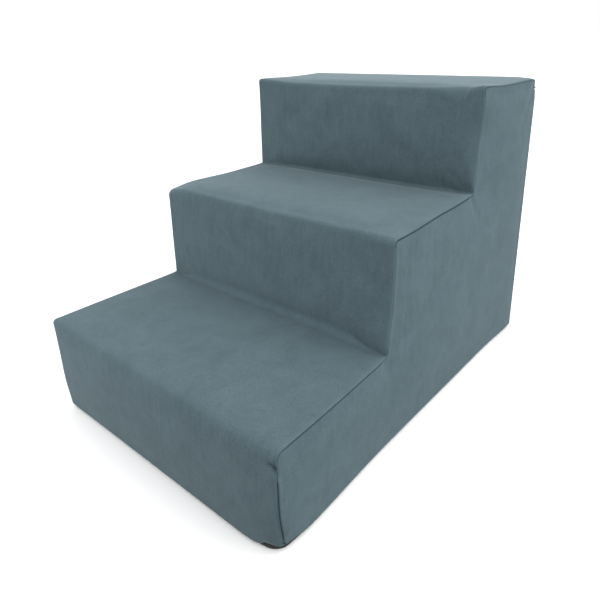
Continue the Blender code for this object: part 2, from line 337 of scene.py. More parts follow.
FOAM_EDGE = 0.012
FOAM_GIVE = 0.0030  # the foam is pressed this far inside its cut faces by the cover
FOAM_CELL = 0.010
GLUE_GAP = 0.0002
SLABS = (("lower", LOWER, 0.036), ("middle", MIDDLE, 0.022), ("upper", UPPER, 0.018))
foam_finish = open_cell_foam()
for level, (low, high), nose in SLABS:
    low = np.array(low) + (FOAM_GIVE, FOAM_GIVE, GLUE_GAP)
    high = np.array(high) - (FOAM_GIVE, 0.0, GLUE_GAP)
    high[2] -= FOAM_GIVE if level == "upper" else 0.0
    points, faces = lattice_box(low, high, FOAM_CELL)
    points = nosed(eased(points, low, high, FOAM_EDGE), low[1], high[2], nose)
    slab = mesh_object(f"foam_{level}_block", settled(points), faces, foam_finish)
    join(slab, "foam", "stairs", f"foam_{level}_slab")


# ---------------------------------------------------------------- Form of the cover
# The cover is sewn a touch larger than the foam and is pressed out by it: between the seams each
# panel stands proud, and in the inner corners it bridges from tread to riser. Cloth simulation
# under a light pressure gives how far, with the seams held still.

PRESS_VOXEL = 0.0075
PRESS_FRAMES = 20
SEAM_HOLD = 0.009
PRESS_MOST = 0.0060
PRESS_SHARE = 0.75


STAIR_OUTLINE = [
    (FRONT, FOOT), (FRONT, LOWER_TOP), (MIDDLE_RISER, LOWER_TOP), (MIDDLE_RISER, MIDDLE_TOP),
    (UPPER_RISER, MIDDLE_TOP), (UPPER_RISER, HEIGHT), (BACK, HEIGHT), (BACK, FOOT),
]


def distance_to_outline(y, z, corners, closed=True):
    """Distance of points in the side view to an outline through corners."""
    nearest = np.full(len(y), np.inf)
    ends = corners[1:] + corners[:1] if closed else corners[1:]
    for (ya, za), (yb, zb) in zip(corners, ends):
        run = np.array([yb - ya, zb - za])
        share = np.clip(((y - ya) * run[0] + (z - za) * run[1]) / max(run @ run, 1e-12), 0.0, 1.0)
        nearest = np.minimum(nearest, np.hypot(y - ya - share * run[0], z - za - share * run[1]))
    return nearest


def read_points(mesh):
    flat = np.empty(len(mesh.vertices) * 3, np.float32)
    mesh.vertices.foreach_get("co", flat)
    return flat.reshape(-1, 3).astype(float)


def pressed_form():
    """The remeshed cut shape, and how far the cloth simulation presses each of its points out."""
    build = bmesh.new()
    ends = []
    for x in (-HALF_WIDTH, HALF_WIDTH):
        ends.append(build.faces.new([build.verts.new((x, y, z)) for y, z in STAIR_OUTLINE]))
    bmesh.ops.bridge_loops(build, edges=[edge for end in ends for edge in end.edges])
    bmesh.ops.recalc_face_normals(build, faces=build.faces)
    mesh = bpy.data.meshes.new("press form")
    build.to_mesh(mesh)
    build.free()
    form = bpy.data.objects.new("press form", mesh)
    scene.collection.objects.link(form)
    remesh = form.modifiers.new("even cells", "REMESH")
    remesh.mode = "VOXEL"
    remesh.voxel_size = PRESS_VOXEL
    bpy.context.view_layer.update()
    even = bpy.data.meshes.new_from_object(form.evaluated_get(bpy.context.evaluated_depsgraph_get()))
    form.modifiers.remove(remesh)
    form.data = even
    start = read_points(even)
    x, y, z = start.T
    at_side = HALF_WIDTH - np.abs(x) < SEAM_HOLD
    seams = at_side & (distance_to_outline(y, z, STAIR_OUTLINE) < SEAM_HOLD)
    held = seams | (z < FOOT + SEAM_HOLD) | (y > BACK - SEAM_HOLD)
    group = form.vertex_groups.new(name="seams")
    group.add([int(i) for i in np.nonzero(held)[0]], 1.0, "REPLACE")
    cloth = form.modifiers.new("press", "CLOTH")
    cloth.settings.use_pressure = True
    cloth.settings.uniform_pressure_force = 4.0
    cloth.settings.vertex_group_mass = "seams"
    cloth.settings.quality = 4
    cloth.settings.effector_weights.gravity = 0.0
    cloth.collision_settings.use_self_collision = False
    for number in range(1, PRESS_FRAMES + 1):
        scene.frame_set(number)
    shaped = form.evaluated_get(bpy.context.evaluated_depsgraph_get()).to_mesh()
    press = read_points(shaped) - start
    scene.frame_set(1)
    faces = [tuple(polygon.vertices) for polygon in even.polygons]
    bpy.data.objects.remove(form)
    length = np.linalg.norm(press, axis=1, keepdims=True)
    press *= PRESS_SHARE * PRESS_MOST / (length * PRESS_SHARE + PRESS_MOST)
    return start, faces, press


press_start, press_faces, press_move = pressed_form()
press_tree = BVHTree.FromPolygons([tuple(p) for p in press_start], press_faces)


def pressed(points):
    """How far the simulation presses out each point of the cut shape."""
    if press_tree is None:
        return np.zeros((len(points), 3))
    moves = np.empty((len(points), 3))
    for i, point in enumerate(points):
        _, _, number, _ = press_tree.find_nearest(Vector(point))
        around = list(press_faces[number])
        gap = np.linalg.norm(press_start[around] - point, axis=1)
        weight = 1 / (gap + 1e-5) ** 2
        moves[i] = weight @ press_move[around] / weight.sum()
    return moves


# ---------------------------------------------------------------- Step panel
# One strip of short-napped polyester suede, cut to the stairs' width. It runs up the front, over
# every tread and riser and over the top, and turns down the back to a lip. It rolls over the side
# edges and is sewn to the side panels face to face, so the seam lies in a narrow groove.

# Radius over each slab's front edge: at the left seam, between the seams, at the right seam
NOSES = ((0.0060, 0.0080, 0.0120), (0.0090, 0.0042, 0.0080), (0.0050, 0.0046, 0.0042))
NOSE_REACH = 0.070
# More radius near the right end of the top slab's front edge: how much, how far in, and how wide
SOFT_END, SOFT_END_IN, SOFT_END_WIDE = 0.0120, 0.028, 0.020
CREASE_AT_SEAM, LOWER_CREASE, UPPER_CREASE = 0.0022, 0.0130, 0.0060
CREASE_FROM, CREASE_REACH = 0.004, 0.085  # in from the side's face, where the creases open out
CREASE_DEEP = 0.0035
BACK_RADIUS = 0.008
FOOT_ROLL, CORNER_FOOT_ROLL, CORNER_FOOT_REACH = 0.0045, 0.011, 0.03
HEM_ROLL = 0.0015
LIP_DRAWN_IN = 0.0010  # the ends of the lip, where the side panels turn on to the back
LIP_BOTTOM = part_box("step_panel")[1].z - 0.012
CLOTH = 0.0012
GROOVE = 0.0012  # depth of the seam groove below the side's face
FLAT_FROM = 0.023  # the roll over the side edge ends before this
FLUSH = 0.7  # how much of the groove is missing along the top
ROW_STEP = 0.0036
COLUMN_STEP = 0.0042
# The cloth turned in at the seam: how far in from the side's face, and how far down past the roll
TURNED_IN = ((0.0029, 0.0056), (0.0027, 0.0026), (0.0020, 0.0010), (GROOVE, 0.0006), (0.5 * GROOVE, 0.0003))

UP, BACKWARD, DOWN, FORWARD = (0.0, 1.0), (1.0, 0.0), (0.0, -1.0), (-1.0, 0.0)


def stair_section(across):
    """The strip from the side, at each place across: points, outward normals, and the corners' rows."""
    inside = HALF_WIDTH - np.abs(across)
    bridged = smooth_step(CREASE_FROM, CREASE_REACH, inside)
    lower_crease, upper_crease = (
        CREASE_AT_SEAM + (crease - CREASE_AT_SEAM) * bridged for crease in (LOWER_CREASE, UPPER_CREASE)
    )
    inner = smooth_step(0.0, NOSE_REACH, inside)
    noses = []
    for left, within, right in NOSES:
        noses.append(np.where(across > 0, right, left) * (1 - inner) + within * inner)
    noses[2] = noses[2] + SOFT_END * np.exp(-(((inside - SOFT_END_IN) / SOFT_END_WIDE) ** 2)) * (across > 0)
    by_corner = (1 - smooth_step(0.0, CORNER_FOOT_REACH, inside)) * (across > 0)
    foot = FOOT_ROLL + (CORNER_FOOT_ROLL - FOOT_ROLL) * by_corner
    even = np.ones_like(across)
    # Each corner's place, the ways in and out of it, its radius at each place across, and its steps
    corners = [
        ((FRONT, FOOT), FORWARD, UP, foot, 8),
        ((FRONT, LOWER_TOP), UP, BACKWARD, noses[0], 13),
        ((MIDDLE_RISER, LOWER_TOP), BACKWARD, UP, lower_crease, 9),
        ((MIDDLE_RISER, MIDDLE_TOP), UP, BACKWARD, noses[1], 11),
        ((UPPER_RISER, MIDDLE_TOP), BACKWARD, UP, upper_crease, 9),
        ((UPPER_RISER, HEIGHT), UP, BACKWARD, noses[2], 10),
        ((BACK, HEIGHT), BACKWARD, DOWN, BACK_RADIUS * even, 8),
        ((BACK, LIP_BOTTOM), DOWN, FORWARD, HEM_ROLL * even, 4),
    ]
    points, normals, corner_rows = [], [], []
    for number, (place, arriving, leaving, radius, steps) in enumerate(corners):
        arrive, leave = np.array(arriving), np.array(leaving)
        centre = np.array(place) + radius[:, None] * (leave - arrive)
        begin = centre - radius[:, None] * leave
        if number:
            last = points[-1]
            count = max(1, round(float(np.linalg.norm(begin - last, axis=1).mean()) / ROW_STEP))
            for i in range(1, count):
                points.append(last + (begin - last) * i / count)
                normals.append(np.tile((-arrive[1], arrive[0]), (len(across), 1)))
        corner_rows.append(len(points) + steps // 2)
        for i in range(steps + 1):
            angle = math.pi / 2 * i / steps
            spoke = arrive * math.sin(angle) - leave * math.cos(angle)
            heading = arrive * math.cos(angle) + leave * math.sin(angle)
            points.append(centre + radius[:, None] * spoke)
            normals.append(np.tile((-heading[1], heading[0]), (len(across), 1)))
    return np.array(points), np.array(normals), corner_rows


TOP_EDGE_BELOW, TOP_EDGE_BEHIND = (0.006, 0.001), (0.004, 0.020)  # below the top, behind its riser


def on_top_edge(y, z):
    """1 along the top's side edges, where the seam is drawn in tight, and 0 elsewhere."""
    up = smooth_step(HEIGHT - TOP_EDGE_BELOW[0], HEIGHT - TOP_EDGE_BELOW[1], z)
    return up * smooth_step(UPPER_RISER + TOP_EDGE_BEHIND[0], UPPER_RISER + TOP_EDGE_BEHIND[1], y)


def near_place(y, z, place, reach):
    """1 at a place in the side view, falling away evenly all round it."""
    return np.exp(-(((y - place[0]) ** 2 + (z - place[1]) ** 2) / reach**2))


# How much less of the painted shade along the seam shows along the top, over the lowest front edge, on treads
LESS_ON_TOP, LESS_OVER_NOSE, LESS_ON_TREAD = 0.8, 0.6, 0.35
TREAD_BAND, NOSE_BAND = 0.004, 0.020


def painted_seam_shade(y, z, reach=0.0):
    """How dark the painted shade along the seam is at places in the side view."""
    over_nose = near_place(y, z, (FRONT, LOWER_TOP), NOSE_BAND)
    on_tread = 0.0
    for level in (LOWER_TOP, MIDDLE_TOP):
        below, above = smooth_step(level - TREAD_BAND, level, z), smooth_step(level, level + TREAD_BAND, z)
        on_tread += below * (1 - above)
    shows = 1 - LESS_ON_TOP * on_top_edge(y + reach, z + reach)
    return shows * (1 - LESS_OVER_NOSE * over_nose) * (1 - LESS_ON_TREAD * on_tread)


# Radius and drop of the strip's roll over its side edges, and what is added to each up the right
# side of the top riser, up the front, low on the right of the front, and along the top
ROLL = (0.0042, 0.0024)
ROLL_ADDED = ((0.0130, 0.0062), (0.0010, 0.0), (0.0080, 0.0062), (0.002, -0.0008))
UPPER_ROLL_BEHIND = (0.012, 0.040)  # behind the top riser, where its roll ends
UPPER_ROLL_BELOW = (0.060, 0.040, -0.002)  # below the top, where it is full, and fades from and to
FRONT_BAND = (0.02, 0.05)  # behind the front, where the front's roll ends
LOW_FROM, LOW_TO = 0.014, 0.9 * LOWER_TOP
AT_FOOT, ABOVE_FOOT = 0.4, 0.012  # share of the low roll at the foot itself, and where it is whole
DRAWN_UP, DRAWN_REACH = 0.6, 0.012  # how much of the drop is missing in an inner corner, and how far
SOFT_ROLL = 0.6  # up the top riser, how near the roll is to an even slope


def roll_sizes(y, z, side):
    """Radius and drop of the roll at places along the steps, and how soft it is."""
    full, fades, gone = (HEIGHT - below for below in UPPER_ROLL_BELOW)
    at_upper = 1 - smooth_step(UPPER_RISER + UPPER_ROLL_BEHIND[0], UPPER_RISER + UPPER_ROLL_BEHIND[1], y)
    on_upper = smooth_step(MIDDLE_TOP, full, z) * at_upper * (1 - smooth_step(fades, gone, z)) * (side > 0)
    at_front = 1 - smooth_step(FRONT + FRONT_BAND[0], FRONT + FRONT_BAND[1], y)
    low_front = at_front * (1 - smooth_step(LOW_FROM, LOW_TO, z)) * (side > 0)
    low_front = low_front * (AT_FOOT + (1 - AT_FOOT) * smooth_step(FOOT, ABOVE_FOOT, z))
    radius, drop = ROLL
    for share, (wider, deeper) in zip((on_upper, at_front, low_front, on_top_edge(y, z)), ROLL_ADDED):
        radius, drop = radius + wider * share, drop + deeper * share
    for place in ((MIDDLE_RISER, LOWER_TOP), (UPPER_RISER, MIDDLE_TOP)):
        drop = drop * (1 - DRAWN_UP * near_place(y, z, place, DRAWN_REACH))
    return radius, drop, SOFT_ROLL * on_upper


def rolled_down(share, soft):
    """Share of the drop at a share of the way out over a roll: round, or where soft an even slope."""
    return (1 - soft) * (1 - np.sqrt(np.clip(1 - share**2, 0.0, None))) + soft * share**2


CREASE_FADES = 0.75  # how much of its depth a crease has lost by its far end


def valley(along, across, start, end, width, depth):
    """A soft crease between two places on the flat strip: how far it sinks at each point."""
    run = np.array(end) - np.array(start)
    share = ((along - start[0]) * run[0] + (across - start[1]) * run[1]) / (run @ run)
    held = np.clip(share, 0.0, 1.0)
    off = np.hypot(along - start[0] - held * run[0], across - start[1] - held * run[1])
    return depth * np.exp(-((off / width) ** 2)) * (1 - CREASE_FADES * held)


def add_map(mesh, name, places):
    """A UV map that holds each point's place on the flat cloth, in metres."""
    layer = mesh.uv_layers.new(name=name)
    corners = np.empty(len(mesh.loops), np.int32)
    mesh.loops.foreach_get("vertex_index", corners)
    layer.data.foreach_set("uv", np.asarray(places, np.float32)[corners].ravel())


def add_painted_shade(mesh, values):
    """Keeps how dark the painted shade of the seams and creases makes the cloth at each point."""
    painted_shade = mesh.attributes.new("seam", "FLOAT", "POINT")
    painted_shade.data.foreach_set("value", np.asarray(values, np.float32))


def polyester_suede():
    """Short-napped polyester suede: a fine brushed pile that pales at a glancing view, with soft
    patches where the nap lies differently, faint streaks down the upright faces, and painted shade:
    a darker line in the seams' grooves and the creases, where shade falls. The fibres are under 0.1 mm: they
    are drawn coarser, to show."""
    suede, tree, shader, place = new_finish("brushed polyester suede")
    flat = add(tree, "ShaderNodeUVMap", uv_map="flat cloth").outputs["UV"]
    patches = {"Vector": place, "Scale": 1 / PATCH, "Detail": 6.0, "Roughness": 0.66, "Distortion": 0.6}
    clouds = add(tree, "ShaderNodeTexNoise", patches).outputs["Fac"]
    brushed = add(tree, "ShaderNodeMapping", {"Vector": flat, "Scale": (1 / STREAK[0], 1 / STREAK[1], 1.0)})
    strokes = {"Vector": brushed.outputs["Vector"], "Scale": 1.0, "Detail": 3.0, "Roughness": 0.6}
    streaks = add(tree, "ShaderNodeTexNoise", strokes).outputs["Fac"]
    fibres = {"Vector": place, "Scale": 1 / FIBRE, "Detail": 2.0, "Roughness": 0.7}
    grain = add(tree, "ShaderNodeTexNoise", fibres).outputs["Fac"]
    normal = add(tree, "ShaderNodeTexCoord").outputs["Normal"]
    upward = add(tree, "ShaderNodeSeparateXYZ", {"Vector": normal}).outputs["Z"]
    streaked = {"Value": upward, "From Min": 0.2, "From Max": 0.8, "To Min": 0.20, "To Max": 0.06}
    upright = add(tree, "ShaderNodeMapRange", streaked).outputs["Result"]
    tone = 0.0
    for pattern, strength in ((clouds, 0.35), (streaks, upright), (grain, 0.45)):
        parts = {0: pattern, 1: strength, 2: tone}
        tone = add(tree, "ShaderNodeMath", parts, operation="MULTIPLY_ADD").outputs[0]
    # The middle of the three patterns together, which is taken off so that they lighten and darken alike
    level = add(tree, "ShaderNodeMath", {0: upright, 1: 0.5, 2: 0.40}, operation="MULTIPLY_ADD").outputs[0]
    around = add(tree, "ShaderNodeMath", {0: tone, 1: level}, operation="SUBTRACT").outputs[0]
    nap = add(tree, "ShaderNodeMapRange", {"Value": around, "From Min": -0.15, "From Max": 0.15})
    tones = {"Factor": nap.outputs["Result"], A: linear("#404f55"), B: linear("#526369")}
    colour = add(tree, "ShaderNodeMix", tones, data_type="RGBA").outputs[MIXED]
    # Painted shade: where the seam attribute is high the colour goes to a dark teal, for the shade in the
    # seams' grooves and the creases.
    painted_shade_attribute = add(tree, "ShaderNodeAttribute", attribute_name="seam").outputs["Fac"]
    painted_shades = {"Factor": painted_shade_attribute, A: colour, B: linear("#2f3f46")}
    painted_shade = add(tree, "ShaderNodeMix", painted_shades, data_type="RGBA").outputs[MIXED]
    rise = add(tree, "ShaderNodeMath", {0: streaks, 1: upright, 2: grain}, operation="MULTIPLY_ADD")
    bump = add(tree, "ShaderNodeBump", {"Height": rise.outputs[0], "Distance": 0.00030, "Strength": 0.6})
    feed(shader, {"Base Color": painted_shade, "Normal": bump.outputs["Normal"], "Roughness": 0.92})
    feed(shader, {"Specular IOR Level": 0.10, "Sheen Weight": 0.22, "Sheen Roughness": 0.40})
    feed(shader, {"Sheen Tint": linear("#cfe0e4")})
    return suede


PATCH, STREAK, FIBRE = 0.038, (0.0065, 0.030), 0.0013
suede_finish = polyester_suede()


def give_thickness(panel, thickness=CLOTH):
    """The cloth's own thickness, inwards from its face."""
    solid = panel.modifiers.new("cloth", "SOLIDIFY")
    solid.thickness = thickness
    solid.offset = -1.0


def edge_columns():
    """Each column of the strip: which side it is by, its share of the roll, or its place across."""
    rolled = [("roll", math.radians(angle)) for angle in (90, 82, 72, 60, 47, 34, 22, 12, 5)]
    turned = [("turned", place) for place in TURNED_IN]
    rolled += [("between", share) for share in (0.0, 0.25, 0.5, 0.75)]
    inner = HALF_WIDTH - FLAT_FROM
    count = round(2 * inner / COLUMN_STEP)
    middle = [("flat", inner - 2 * inner * i / count) for i in range(count + 1)]
    right = [(1, *column) for column in turned + rolled]
    left = [(-1, *column) for column in (turned + rolled)[::-1]]
    return right + [(0, *column) for column in middle] + left


SEEN_FROM = 0.002  # in from the side's face, where the rolls' section is taken
# Painted shade on the strip: on the roll where it turns into the seam, low on the front's right end, and in
# the creases.
PAINTED_SHADE_ON_ROLL, PAINTED_SHADE_AT_FRONT, PAINTED_SHADE_ON_CREASE = 0.7, 0.8, 0.85
FRONT_PAINTED_SHADE_DEEP = 0.03
FRONT_PAINTED_SHADE_RISES, FRONT_PAINTED_SHADE_FALLS = (0.010, 0.050), (0.060, 0.110)
LIP_ENDS = (0.004, 0.016)  # in from the side's face, where the lip is drawn in


def step_strip():
    """The strip, pressed and settled, and the path of its seam in the side view."""
    columns = edge_columns()
    across = [value if kind == "flat" else side * (HALF_WIDTH - SEEN_FROM) for side, kind, value in columns]
    section, normals, corner_rows = stair_section(np.array(across))
    middle = section[:, len(columns) // 2]
    along = np.r_[0.0, np.cumsum(np.linalg.norm(np.diff(middle, axis=0), axis=1))]
    places = np.empty((*section.shape[:2], 3))
    painted_shade = np.zeros(section.shape[:2])
    for number, (side, kind, value) in enumerate(columns):
        y, z = section[:, number].T
        radius, drop, soft = roll_sizes(y, z, side or value)
        painted_shade_shows = painted_seam_shade(y, z)
        if kind == "roll":
            inside = radius * (1 - math.sin(value))
            sunk = drop * rolled_down(math.sin(value), soft)
            up_front = smooth_step(*FRONT_PAINTED_SHADE_RISES, z) * (1 - smooth_step(*FRONT_PAINTED_SHADE_FALLS, z))
            low_front = (side > 0) * (y < FRONT + FRONT_PAINTED_SHADE_DEEP) * up_front
            # painted shade where the roll turns into the seam's groove, stronger low on the front's right end
            painted_dark = PAINTED_SHADE_ON_ROLL * smooth_step(1.25, 1.57, value)
            painted_dark = painted_dark + PAINTED_SHADE_AT_FRONT * low_front * math.sin(value) ** 12
            painted_shade[:, number] = np.minimum(1.0, painted_dark) * painted_shade_shows
        elif kind == "turned":
            inside = value[0] * (1 - FLUSH * on_top_edge(y, z))
            sunk = drop + value[1]
            # painted shade on the cloth turned into the groove
            painted_shade[:, number] = painted_shade_shows
        else:
            inside = radius + (FLAT_FROM - radius) * value if kind == "between" else None
            sunk = np.zeros_like(radius)
        places[:, number, 0] = value if inside is None else side * (HALF_WIDTH - inside)
        places[:, number, 1:] = section[:, number] - normals[:, number] * sunk[:, None]
    seam = places[: corner_rows[-1] - 2, 3, 1:].copy()
    s = np.tile(along[:, None], (1, len(columns)))
    x = places[:, :, 0]
    past_top = smooth_step(0.0, 0.010, HEIGHT - places[:, :, 2]) * (section[:, :, 0] > BACK - 0.004)
    by_seam = past_top * (1 - smooth_step(*LIP_ENDS, HALF_WIDTH - np.abs(x)))
    places[:, :, 0] -= LIP_DRAWN_IN * np.sign(x) * by_seam
    places[:, :, 1] -= 0.5 * LIP_DRAWN_IN * by_seam
    sink = np.zeros_like(s)
    for corner, side, start, end, width, depth in STRIP_CREASES:
        row = along[corner_rows[corner]]
        ends = [(row + past, side * (HALF_WIDTH - within)) for past, within in (start, end)]
        sink += valley(s, x, *ends, width, depth)
    places[:, :, 1:] -= normals * sink[:, :, None]
    # painted shade in the creases and pinches, by how deep they sink
    painted_shade = np.maximum(painted_shade, PAINTED_SHADE_ON_CREASE * smooth_step(0.0004, CREASE_DEEP, sink))
    rows, across_count = s.shape
    flat = places.reshape(-1, 3)
    flat = corner_lifted(settled(flat + softened(pressed(flat), rows, across_count)))
    index = np.arange(rows * across_count).reshape(rows, across_count)
    quads = np.stack([index[:-1, :-1], index[1:, :-1], index[1:, 1:], index[:-1, 1:]], axis=-1)
    strip = mesh_object("step_cover", flat, quads.reshape(-1, 4), suede_finish)
    add_map(strip.data, "flat cloth", np.stack([x.ravel(), s.ravel()], axis=1))
    add_painted_shade(strip.data, painted_shade.ravel())
    return strip, seam


def softened(moves, rows, columns, rounds=6):
    """A grid of moves with the steps between the simulation's cells smoothed out."""
    grid = moves.reshape(rows, columns, 3)
    for _ in range(rounds):
        wide = np.pad(grid, ((1, 1), (1, 1), (0, 0)), mode="edge")
        near = wide[:-2, 1:-1] + wide[2:, 1:-1] + wide[1:-1, :-2] + wide[1:-1, 2:]
        grid = 0.5 * grid + 0.125 * near
    return grid.reshape(-1, 3)


# Creases in the inner corners: each end's metres past the corner's row and metres in from the
# side's face, then width and depth
CORNER_CREASES = (
    ((0.004, 0.006), (0.034, 0.036), 0.0050, 0.0014),
    ((0.003, 0.020), (0.014, 0.062), 0.0050, 0.0012),
    ((-0.004, 0.010), (-0.020, 0.048), 0.0060, 0.0008),
)
# Where the seam pinches the right end of the lowest front edge
PINCHES = (
    ((-0.0150, 0.0015), (-0.0010, 0.0090), 0.0019, 0.0048),
    ((-0.0100, 0.0010), (0.0020, 0.0030), 0.0016, 0.0024),
)
STRIP_CREASES = [(2, side, *crease) for side in (1, -1) for crease in CORNER_CREASES]
STRIP_CREASES += [(4, side, *crease) for side in (1, -1) for crease in CORNER_CREASES]
STRIP_CREASES += [(1, 1, *pinch) for pinch in PINCHES]

step_cover, seam_path = step_strip()
give_thickness(step_cover)
join(step_cover, "suede", "stairs", "step_panel")


# ---------------------------------------------------------------- Side panels
# Two stair-shaped pieces of the same suede. Each is turned on to the back along its rear edge,
# where the zip is sewn to it, and rolled under at the foot, where it is sewn to the base.

TURN = 0.004  # radius at the rear edge
SIDE_RETURN = HALF_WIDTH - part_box("back_hem_strip")[1].x
SEAM_WIDTH = 0.0007  # between the two cloths at the floor of the groove
GROOVE_ROLL = 0.0026
FOLD_ROLL, FOLD_DEPTH = 0.0014, 0.0010
PAINTED_SHADE_WIDTH, FRONT_PAINTED_SHADE_WIDER = 0.0016, 0.0010  # of the dark line beside the seam
LIP_DEPTH = 0.0016
LIP_OVERLAP = 0.0020  # the back's panels reach this far up under the lip
EDGE_BANDS = (0.0005, 0.0011, 0.0018, 0.0027, 0.0042, 0.0062, 0.0086)
CELL = 0.0045


def inset(path, distance):
    """A path in the plane, moved to its right by a distance."""
    run = np.gradient(path, axis=0)
    run /= np.linalg.norm(run, axis=1, keepdims=True)
    return path + distance * np.stack([run[:, 1], -run[:, 0]], axis=1)


def evened(path, step=ROW_STEP):
    """A path with points added, so that none is more than a step from the next."""
    even = [path[0]]
    for here, there in zip(path, path[1:]):
        count = max(1, math.ceil(math.dist(here, there) / step))
        even += [here + (there - here) * i / count for i in range(1, count + 1)]
    return np.array(even)


def filled(outline):
    """A closed outline, clockwise, filled with triangles: close rows by its edge, then even cells."""
    corners = [tuple(p) for p in outline]
    (low_a, low_b), (high_a, high_b) = outline.min(axis=0), outline.max(axis=0)
    grid_a, grid_b = np.meshgrid(np.arange(low_a, high_a, CELL), np.arange(low_b, high_b, CELL))
    grid_a = grid_a + 0.5 * CELL * (np.arange(len(grid_a))[:, None] % 2)
    grid = np.stack([grid_a.ravel(), grid_b.ravel()], axis=1)
    inner = [grid[distance_to_outline(*grid.T, corners) > EDGE_BANDS[-1] + 0.5 * CELL]]
    for band in EDGE_BANDS:
        ring = inset(np.vstack([outline[-1:], outline, outline[:1]]), band)[1:-1]
        inner.append(ring[distance_to_outline(*ring.T, corners) > 0.97 * band])
    points = np.vstack([outline, *inner])
    loop = list(range(len(outline)))
    places, _, faces, *_ = geometry.delaunay_2d_cdt([Vector(p) for p in points], [], [loop[::-1]], 1, 1e-7)
    used = sorted({i for face in faces for i in face})
    number = {old: new for new, old in enumerate(used)}
    return np.array([places[i] for i in used]), [[number[i] for i in face] for face in faces]


def sunk_edge(distance, roll, depth):
    """How far the cloth sinks by an edge that it rolls over."""
    share = np.clip(1 - distance / roll, 0.0, 1.0)
    return depth * (1 - np.sqrt(1 - share**2))


def side_outline():
    """The flat side panel: the seam over the steps, the edge turned on to the back, and the foot."""
    seam = inset(seam_path, SEAM_WIDTH)
    across_turn = BACK - TURN + TURN * math.pi / 2 + SIDE_RETURN - TURN
    foot = FOOT + FOOT_ROLL * (1 - math.pi / 2)
    top = LIP_BOTTOM + LIP_OVERLAP
    rest = [seam[-1], (seam[-1][0] + 0.002, top), (across_turn, top), (across_turn, foot)]
    rest += [(seam[0][0] + 0.004, foot), seam[0]]
    return seam, np.vstack([seam, evened([np.array(p) for p in rest])[1:-1]])


UNDER_LIP = (0.0014, 0.0004)  # below and above the lip's edge, where the panel sinks behind it
ON_BACK = (0.0045, 0.001)  # before the back face, where that starts and is whole
TOP_EDGE_OFF = 0.004  # the seam runs this far inside the top edge's corner, in both directions


def side_panel(name, side):
    """One side panel, turned on to the back, rolled under at the foot, and pressed out by the foam."""
    seam, outline = side_outline()
    flat, faces = filled(outline)
    w, h = flat.T
    seam_gap = distance_to_outline(w, h, [tuple(p) for p in seam], closed=False)
    fold = [(outline[:, 0].max(), LIP_BOTTOM), (outline[:, 0].max(), FOOT)]
    fold_gap = distance_to_outline(w, h, fold, closed=False)
    groove = GROOVE * (1 - FLUSH * on_top_edge(w + TOP_EDGE_OFF, h + TOP_EDGE_OFF))
    sink = sunk_edge(seam_gap, GROOVE_ROLL, groove) + sunk_edge(fold_gap, FOLD_ROLL, FOLD_DEPTH)
    for start, end, width, depth in SIDE_CREASES:
        sink += valley(w, h, start, end, width, depth)
    on_back = smooth_step(BACK - ON_BACK[0], BACK - ON_BACK[1], w)
    sink += LIP_DEPTH * smooth_step(LIP_BOTTOM - UNDER_LIP[0], LIP_BOTTOM + UNDER_LIP[1], h) * on_back
    past = np.clip(w - BACK + TURN, 0.0, None)
    around = np.minimum(past / TURN, math.pi / 2)
    under = np.clip(FOOT + FOOT_ROLL - h, 0.0, FOOT_ROLL * math.pi / 2) / FOOT_ROLL
    inward = sink * np.cos(under) + FOOT_ROLL * (1 - np.cos(under))
    x = HALF_WIDTH - TURN * (1 - np.cos(around)) - np.clip(past - TURN * math.pi / 2, 0.0, None)
    y = np.where(past > 0, BACK - TURN + TURN * np.sin(around), w)
    z = np.where(under > 0, FOOT + FOOT_ROLL * (1 - np.sin(under)) + sink * np.sin(under), h)
    points = np.stack([side * (x - inward * np.cos(around)), y - inward * np.sin(around), z], axis=1)
    points = corner_lifted(settled(points + pressed(points) * (past == 0)[:, None]))
    panel = mesh_object(name, points, faces if side > 0 else [face[::-1] for face in faces], suede_finish)
    add_map(panel.data, "flat cloth", flat)
    # Painted shade along the seam: a dark band beside it, wider low on the front's right end.
    by_front = (side > 0) * (w < FRONT + FRONT_PAINTED_SHADE_DEEP) * (h < LOW_TO)
    by_seam = np.clip(1 - seam_gap / (PAINTED_SHADE_WIDTH + FRONT_PAINTED_SHADE_WIDER * by_front), 0.0, 1.0)
    add_painted_shade(panel.data, painted_seam_shade(w, h, TOP_EDGE_OFF) * by_seam)
    give_thickness(panel)
    return panel


# Each crease's two ends in the side view, its width and its depth
SIDE_CREASES = [
    ((FRONT + 0.006, LOWER_TOP - 0.030), (FRONT + 0.022, LOWER_TOP - 0.040), 0.0035, 0.0016),
    ((MIDDLE_RISER - 0.004, LOWER_TOP - 0.006), (MIDDLE_RISER + 0.010, LOWER_TOP - 0.040), 0.0050, 0.0012),
    ((UPPER_RISER - 0.004, MIDDLE_TOP - 0.006), (UPPER_RISER + 0.012, MIDDLE_TOP - 0.040), 0.0050, 0.0012),
    ((BACK - 0.010, HEIGHT - 0.010), (BACK - 0.040, HEIGHT - 0.050), 0.0060, 0.0014),
]
for name, side in (("right", 1), ("left", -1)):
    panel = side_panel(f"side_cover_{name}", side)
    join(panel, "suede", "stairs", f"{name}_side_panel")


# ---------------------------------------------------------------- Seam stitches
# Polyester thread in a lock stitch, in the groove between the strip and each side panel. The cloth
# hides it but for the two upper risers, where it shows as short strokes.

THREAD = 0.0007
STITCH_PITCH = 0.0028


